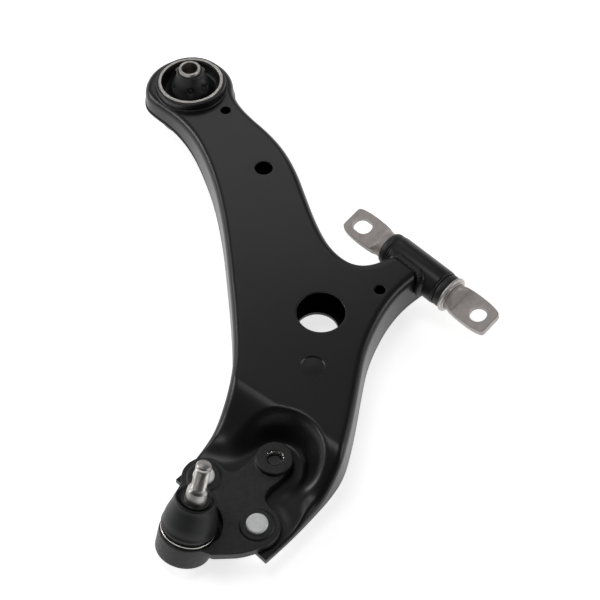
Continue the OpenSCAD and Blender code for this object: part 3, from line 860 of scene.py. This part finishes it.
def build_front_bush():
    tube = [(TUBE_R, -BUSH_HALF), (TUBE_R, BUSH_HALF), (13.6, BUSH_HALF),
            (13.6, -BUSH_HALF)]
    verts, faces = lathe(eased(tube, [2.3, 2.3, 0.3, 0.3], 7), 128)
    piece("front_tube", verts, faces, PAINT_FINE, "black_paint", where=BUSH_PLACE,
          stands_for=["front_bush_tube"])
    flange = [(12.4, 3), (13.55, 3), (13.6, 27.1), (15.9, 27.1), (15.9, 28.5), (12.4, 28.5)]
    part = both_ends(lathe(eased(flange, [0.2, 0.2, 0.2, 0.5, 0.5, 0.3], 4), 128))
    piece("front_sleeve_flanges", *part, BLACK_PLATE, "black_plate", where=BUSH_PLACE,
          stands_for=["front_outer_sleeves"])
    cushion = [(8.55, 3), (12.35, 3), (12.4, 28.55), (14.7, 28.55), (15.5, 30.1),
               (15.55, 32.4), (15.2, 34.6), (14.3, 36.0), (8.55, 36.0)]
    for side, name in ((1, "front"), (-1, "rear")):
        verts, faces = lathe(eased(cushion, [0.1, 0.1, 0.1, 0.5, 0.7, 0.7, 0.7, 0.5, 0.1], 4),
                             128)
        piece(f"front_cushion_{name}", verts * np.array([1, 1, side]), faces, RUBBER,
              "rubber", where=BUSH_PLACE, stands_for=[f"front_rubber_{name}"])
    dish = [(8.55, 36.05), (16.1, 36.05), (16.8, 36.8), (16.8, 38.3), (16.0, 39.0),
            (14.5, 39.0), (14.4, 40.4), (12.7, 40.4), (12.6, 38.95), (8.55, 38.95)]
    verts, faces = lathe(eased(dish, [0.1, 0.5, 0.5, 0.6, 0.6, 0.25, 0.4, 0.3, 0.1, 0.1], 4),
                         144)
    piece("stop_washer", verts, faces, WASHER, "washer_steel", "pivot_shaft",
          where=BUSH_PLACE, stands_for=["front_washer"])


FLAT_HALF_W = 14.25
FLAT_HALF_T = 4.0


def flat_outline(reach):
    """One flattened end seen from above: full beside the bolt hole, drawn in to a short
    straight end."""
    half = [(reach - 23.5, 12.6), (reach - 18, 13.8), (reach - 9, FLAT_HALF_W),
            (reach - 1, 14.1), (reach + 6, 13.4), (reach + 10.5, 12.5), (reach + 13, 11.4),
            (reach + 14.2, 9.8), (reach + 14.5, 7.6)]
    top = spline(half, 6)
    return np.vstack([top, top[::-1] * np.array([1, -1])])[::-1]


def build_shaft():
    turn_x = place((0, 0, 0), (0, 0, -1), (0, 1, 0), (1, 0, 0))
    parts = [moved(post(8.5, -CUSHION_END - 3, CUSHION_END + 5), turn_x)]
    cutters = []
    for side, collar, slot in ((1, CUSHION_END + 3, 0.0), (-1, CUSHION_END, 2.0)):
        flip = np.array([side, 1, 1])
        neck_end = BOLT_REACH - 26.5
        circle = [(neck_end, 12.5 * math.cos(a), 12.5 * math.sin(a))
                  for a in np.linspace(0, 2 * math.pi, 48, endpoint=False)]
        block = [(BOLT_REACH - x, w, t) for x, wide in ((21.5, 13.5), (19.5, 13.6))
                 for w in (-wide, wide) for t in (-FLAT_HALF_T, FLAT_HALF_T)]
        v, f = hull_of(circle + block)
        parts.append((v * flip, f))
        v, f = moved(post(12.5, collar, neck_end + 1), turn_x)
        parts.append((v * flip, f))
        v, f = prism(flat_outline(BOLT_REACH), -FLAT_HALF_T, FLAT_HALF_T)
        parts.append((v * flip, f))
        loop = arc((BOLT_REACH + slot, 0), 7.75, -90, 90, 33)
        loop = np.vstack([loop, arc((BOLT_REACH - slot, 0), 7.75, 90, 270, 33)])
        if not slot:
            loop = arc((BOLT_REACH, 0), 7.75, 0, 360, 65)[:-1]
        v, f = prism(loop, -12, 12)
        cutters.append((v * flip, f))
    verts, faces = fused(parts, 0.55, 7, cutters)
    piece("shaft_forging", verts, faces, PHOSPHATE, "phosphate_steel", "pivot_shaft",
          where=SHAFT_PLACE, stands_for=["front_shaft"], angle=45, merge=False)


# ---- ball joint
def curve2(points, each=4):
    return [tuple(p) for p in spline(points, each)]


def bracket_outline():
    return np.array(
        [tuple(p) for p in arc(BOSS_AT, 15.2, 145, -10, 26)]
        + curve2([(81, -413), (72, -423.5), (62.5, -432), (59.5, -438.5), (62, -445.5),
                  (67.5, -452)])
        + [tuple(p) for p in arc(STUD_SPOTS[0], 18.2, 30, -75, 24)]
        + curve2([(50, -483.5), (38, -486), (18, -486)])
        + [(-18, -470), (-16.5, -447)]
        + curve2([(-12, -434), (-6.2, -424)])
        + [tuple(p) for p in arc(STUD_SPOTS[1], 18.2, 195, 55, 24)]
        + curve2([(25, -406.5), (30.5, -413.5), (37, -414.5), (46, -407.5)]))[::-1]


SOCKET_R = 22.3
SOCKET_LOW = -23.0


def build_bracket():
    plate = prism(bracket_outline(), FLANGE_Z, BRACKET_Z)
    boss = moved(post(14.9, FLANGE_Z, BRACKET_Z + 4.0), at(*BOSS_AT))
    pads = [moved(post(14.2, BRACKET_Z - 2, BRACKET_Z + 1.3, 13.0), at(*p))
            for p in STUD_SPOTS]
    cup = lathe(eased([(0, SOCKET_LOW), (SOCKET_R, SOCKET_LOW), (SOCKET_R, -2.2),
                       (BOOT_SEAT_R, -2.2), (BOOT_SEAT_R, 2.5), (0, 2.5)],
                      [0, 3.2, 1.0, 0.3, 0.5, 0], 6, closed=False), 128, closed=False)
    cup = moved(cup, JOINT_PLACE)
    spread = math.acos(10 / WEB_R)
    web = [(r * math.cos(a), r * math.sin(a), h)
           for r, h in ((22, -18), (WEB_R, -6), (WEB_R, 3))
           for a in np.linspace(-spread, spread, 24)]
    web = moved(hull_of(web), JOINT_PLACE)
    room = lathe([(0, 2.6), (BOOT_GAP_R, 2.6), (BOOT_GAP_R, 30), (0, 30)], 96, closed=False)
    groove = lathe([(BOOT_SEAT_R, -2.0), (BOOT_GAP_R, -2.0), (BOOT_GAP_R, 1.2),
                    (BOOT_ROOM_R, 3.2), (BOOT_ROOM_R, 30), (BOOT_SEAT_R, 30)], 128)
    bore = lathe([(0, SOCKET_LOW - 6), (17.6, SOCKET_LOW - 6), (17.6, SOCKET_LOW + 1.9),
                  (16.0, SOCKET_LOW + 1.9), (16.0, 1.0), (12.7, 1.0), (14.3, 4), (0, 4)],
                 96, closed=False)
    cutters = [moved(c, JOINT_PLACE) for c in (room, groove, bore)]
    cutters += [moved(post(6.02, FLANGE_Z - 3, BRACKET_Z + 6), at(*p)) for p in STUD_SPOTS]
    hole = lathe([(0, FLANGE_Z - 3), (6.25, FLANGE_Z - 3), (6.25, BRACKET_Z + 2.9),
                  (8.0, BRACKET_Z + 4.6), (0, BRACKET_Z + 4.6)], 96, closed=False)
    cutters.append(moved(hole, at(*BOSS_AT)))
    verts, faces = fused([plate, boss, cup, web] + pads, 0.6, 5, cutters)
    forging = piece("bracket_forging", verts, faces, FORGING, "cast_black",
                    stands_for=["ball_joint_bracket"], angle=48, merge=False)
    forging.data.materials.append(WIRE)
    for face in forging.data.polygons:
        c = np.array(face.center) / MM
        if math.hypot(c[0] - BOSS_AT[0], c[1] - BOSS_AT[1]) < 7.0 and c[2] < BRACKET_Z + 3.5:
            face.material_index = 1


def build_boot():
    outer = [(20.25, -1.7), (20.2, 0.6), (20.3, 2.0), (20.9, 3.3), (21.75, 4.4),
             (22.0, 5.3), (21.8, 6.4), (21.3, 8.0), (20.9, 11.0), (20.5, 13.4),
             (19.9, 16.0), (19.0, 19.2),
             (18.1, 22.4), (17.2, 25.4), (16.5, 27.8), (16.15, 29.6), (15.9, 31.0),
             (15.3, 31.75), (14.5, 31.6), (13.9, 30.8), (13.2, 29.8), (11.5, 29.1),
             (10.4, 28.8), (9.62, 28.9), (9.42, 28.5), (9.42, 26.5)]
    inner = [(12.3, 25.4), (14.6, 23), (17.2, 18), (18.7, 12.5), (19.0, 8.0), (18.6, 4),
             (18.45, 1.0), (18.42, -1.7)]
    crease = 8.0
    out = spline(outer, 5)
    ins = spline(inner, 4)
    parts = {"boot_lower": (out[out[:, 1] <= crease], ins[ins[:, 1] <= crease]),
             "boot_upper": (out[out[:, 1] >= crease], ins[ins[:, 1] >= crease])}
    for name, (o, i) in parts.items():
        if name == "boot_lower":
            ring = list(o) + [(21.3, crease)] + [(19.0, crease)] + list(i)
        else:
            ring = [(21.3, crease)] + list(o) + list(i) + [(19.0, crease)]
        verts, faces = lathe([tuple(p) for p in ring], 144)
        boot = piece(name, verts, faces, BOOT, "boot_rubber", None, where=JOINT_PLACE,
                     stands_for=["dust_boot"] if name == "boot_lower" else [], angle=55)
        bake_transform(boot)
    turn = np.linspace(0, 2 * math.pi * 2.04, 300)
    path = np.column_stack([21.0 * np.cos(turn), 21.0 * np.sin(turn),
                            -0.55 + 0.9 * turn / (4 * math.pi)])
    verts, faces = sweep(path, 0.44, 12)
    piece("clamp_wire", verts, faces, WIRE, "ring_steel", where=JOINT_PLACE,
          stands_for=["boot_clamp_ring"], angle=60)


def build_stud():
    neck = [(0, BALL_H), (6, BALL_H), (6, 4), (8, 11), (9.8, 16), (9.8, 18), (8.0, 41.0)]
    rows = eased(neck, [0, 0, 1, 1, 0.6, 0.6, 0.25], 4, closed=False)[:-1]
    rows += [(8.0, 40.7), (7.85, 41.05), (6.05, 42.7)]
    rows += thread_rows(6.0, 42.9, 65.0, 1.75)
    rows += [(5.95, 65.2), (5.3, 66.15), (5.0, 66.4), (0, 66.4)]
    verts, faces = lathe(rows, 96, closed=False,
                         shape=lambda r, h, t: (screw(43.0, 63.6, 1.75, 1.0)(r, h, t), h))
    ball = [(13 * math.cos(a), BALL_H + 13 * math.sin(a))
            for a in np.linspace(-math.pi / 2, math.radians(61), 40)] + [(0, BALL_H + 11.4)]
    part = joined((verts, faces), lathe(ball, 96, closed=False))
    piece("tapered_stud", *part, STUD_STEEL, "bright_steel", "stud", where=JOINT_PLACE,
          stands_for=["ball_stud"], angle=40)
    cap = [(0, -23.0), (13.5, -23.0), (14.6, -22.6), (17.45, -22.6), (17.45, -21.4),
           (0, -21.4)]
    verts, faces = lathe(eased(cap, [0, 0.8, 0.8, 0.4, 0.2, 0], 4, closed=False), 96,
                         closed=False)
    piece("housing_end_cap", verts, faces, FORGING, "cast_black", where=JOINT_PLACE,
          stands_for=["housing_cap"])


# ---- bracket fasteners
def hexagon(across, low, high):
    """A hexagon's radii for lathe(), with its far corners turned off to a cone."""
    flat = across / 2

    def shape(r, h, turn):
        wide = flat / np.cos((turn + math.radians(15)) % (math.pi / 3) - math.pi / 6)
        cone = flat + 0.2 + np.abs(h - low) * 1.7
        edge = np.minimum(wide, cone)
        hexed = (h >= low - 1e-6) & (h <= high + 1e-6) & (r > flat - 0.8)
        return np.where(hexed, np.minimum(r, edge), r), h
    return shape


def build_fasteners():
    shafts, nuts = [], []
    pad_z = BRACKET_Z + 1.3
    for x, y in STUD_SPOTS:
        rows = [(0, pad_z + 2.8), (7.6, pad_z + 2.75), (8.35, pad_z + 2.35),
                (8.6, pad_z + 1.7), (8.6, pad_z + 0.3), (8.35, pad_z), (6, pad_z)]
        rows = eased(rows, [0, 0.9, 0.5, 0.4, 0.3, 0.2, 0], 3, closed=False)
        rows += thread_rows(6.0, -20.0, -33.0, -1.5, 9)
        rows += [(5.3, -33.5), (0, -33.5)]
        v, f = lathe(rows, 96, closed=False,
                     shape=lambda r, h, t: (screw(-32.8, -20.2, 1.5, 0.8)(r, h, t), h))
        shafts.append(moved((v, f), at(x, y)))
        rows = [(6.05, -20.6), (12.5, -20.6), (12.5, -21.3), (11.2, -22.4), (10.6, -22.7),
                (10.6, -24), (10.6, -26), (10.6, -28), (10.6, -30.2), (10.6, -30.9),
                (10.6, -31.5), (8.4, -31.5), (7.0, -31.5), (6.1, -30.7)]
        v, f = lathe(rows, 96, shape=hexagon(18, -31.5, -22.4))
        nuts.append(moved((v, f), at(x, y)))
    piece("stud_fasteners", *joined(*shafts), ZINC, "zinc_plate",
          stands_for=["bracket_studs"], angle=34)
    piece("flange_nuts", *joined(*nuts), ZINC, "zinc_plate", stands_for=["bracket_nuts"],
          angle=28)
    tip = BRACKET_Z - 1.0
    rows = [(0, tip), (4.4, tip), (6.15, tip - 1.5)]
    rows += thread_rows(6.15, tip - 1.8, -22.8, -1.5, 9)
    rows += [(6.2, -23.05), (10.9, -23.05), (10.95, -24), (10.95, -26), (10.95, -28),
             (10.95, -30), (10.95, -31), (8.6, -31), (4.0, -31), (3.6, -30.4), (0, -30.4)]
    v, f = lathe(rows, 96, closed=False, shape=hexagon(19, -31, -23.1))
    v, f = moved((v, f), at(*BOSS_AT))
    piece("boss_bolt", v, f, BOLT_BLACK, "zinc_plate", stands_for=["bracket_bolt"], angle=30)
    ring = [(6.25, -23.0), (14, -23.0), (14, -20.55), (6.25, -20.55)]
    v, f = lathe(eased(ring, 0.4, 4), 96)
    piece("boss_washer", v, f, ZINC, "zinc_plate", where=at(*BOSS_AT),
          stands_for=["bolt_washer"])


# ---- welds
def build_welds():
    turn = np.linspace(0, 2 * math.pi, 420, endpoint=False)
    circle = np.column_stack([33.8 * np.cos(turn), 33.8 * np.sin(turn),
                              np.full(420, ARM_TOP - 0.2)])
    size = ripples(420, 0.51, 1.5, 0.10)
    rear = sweep(circle, size, 12, closed=True)

    def on_tube(s, angle, lift):
        a = math.radians(angle)
        out = TUBE_R + lift
        return ALONG * s - ACROSS * math.sin(a) * out + UP * math.cos(a) * out
    near, far = 280.2, 314.6
    route = [on_tube(near, a, -1.0) for a in (128, 112, 96, 80, 66)]
    route += [on_tube(near + 1.6, 50, -1.0)]
    route += [on_tube(s, 39, -1.2) for s in np.linspace(near + 6, far - 6, 8)]
    route += [on_tube(far - 1.6, 50, -1.0)]
    route += [on_tube(far, a, -1.0) for a in (66, 80, 96, 112, 128)]
    path = even(spline(np.array(route), 8), 0.45)
    size = ripples(len(path), 0.45, 4.0, 0.05)
    ends = np.minimum(np.arange(len(path)), np.arange(len(path))[::-1]) * 0.45
    size = size * np.sqrt(np.clip(ends / 2.5 + 0.08, 0.08, 1))
    front = sweep(path, size, 14)
    piece("weld_fillets", *joined(rear, front), PAINT_FINE, "black_paint",
          stands_for=["weld_beads"], angle=60)


build_upper_shell()
build_lower_shell()
build_rear_bush()
build_front_bush()
build_shaft()
build_bracket()
build_boot()
build_stud()
build_fasteners()
build_welds()
for node, material in (("ball_seat", SEAT), ("preload_spring", SPRING),
                       ("boot_collar_ring", BLACK_PLATE)):
    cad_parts[node].data.materials.clear()
    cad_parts[node].data.materials.append(material)


# ---- camera, light and floor
def build_stage():
    cam_data = bpy.data.cameras.new("camera")
    cam_data.lens = 78
    cam_data.sensor_width = 36
    camera = bpy.data.objects.new("camera", cam_data)
    camera.location = (0.0661, -0.9253, 0.893)
    camera.rotation_euler = (math.radians(37), 0, math.radians(-2.43))
    bpy.context.scene.collection.objects.link(camera)
    bpy.context.scene.camera = camera
    bpy.context.scene.view_settings.view_transform = "Standard"

    bm = bmesh.new()
    bmesh.ops.create_grid(bm, x_segments=8, y_segments=8, size=12)
    mesh = bpy.data.meshes.new("floor")
    bm.to_mesh(mesh)
    bm.free()
    floor = bpy.data.objects.new("floor", mesh)
    floor.location = (0, 0, cad_low.z - 0.0004)
    bpy.context.scene.collection.objects.link(floor)
    mat, nodes, links = node_graph("studio_floor")
    nodes["Principled BSDF"].inputs["Base Color"].default_value = (0.93, 0.93, 0.93, 1)
    nodes["Principled BSDF"].inputs["Roughness"].default_value = 0.9
    nodes["Principled BSDF"].inputs["Specular IOR Level"].default_value = 0.1
    nodes["Principled BSDF"].inputs["Emission Color"].default_value = (1, 1, 1, 1)
    nodes["Principled BSDF"].inputs["Emission Strength"].default_value = 0.72
    mesh.materials.append(mat)

    world = bpy.data.worlds.new("studio")
    bpy.context.scene.world = world
    world.use_nodes = True
    nodes, links = world.node_tree.nodes, world.node_tree.links
    nodes["Background"].inputs["Color"].default_value = (0.95, 0.945, 0.94, 1)
    height = nodes.new("ShaderNodeSeparateXYZ")
    links.new(nodes.new("ShaderNodeTexCoord").outputs["Generated"], height.inputs["Vector"])
    high = mapped(nodes, links, height.outputs["Z"], 0.02, 0.5, 0.75, 0.10)
    behind = mapped(nodes, links, height.outputs["Y"], -0.5, 0.2, 0.2, 1.0)
    sweep_light = nodes.new("ShaderNodeMath")
    sweep_light.operation = "MULTIPLY"
    links.new(high, sweep_light.inputs[0])
    links.new(behind, sweep_light.inputs[1])
    links.new(sweep_light.outputs[0], nodes["Background"].inputs["Strength"])
    aim = Vector((0.08, -0.25, 0))
    for name, spot, size, power in (
            ("left_box", (-1.45, 0.25, 0.85), (1.1, 0.34), 11),
            ("right_box", (1.7, -0.5, 0.75), (1.2, 0.6), 7),
            ("back_box", (-0.1, 1.6, 1.7), (1.4, 0.8), 5),
            ("top_box", (-0.3, -0.1, 2.2), (0.8, 0.8), 7)):
        lamp = bpy.data.lights.new(name, "AREA")
        lamp.shape = "RECTANGLE"
        lamp.size, lamp.size_y = size
        lamp.energy = power
        light = bpy.data.objects.new(name, lamp)
        light.location = spot
        light.rotation_mode = "QUATERNION"
        light.rotation_quaternion = (aim - Vector(spot)).to_track_quat("-Z", "Y")
        bpy.context.scene.collection.objects.link(light)


build_stage()
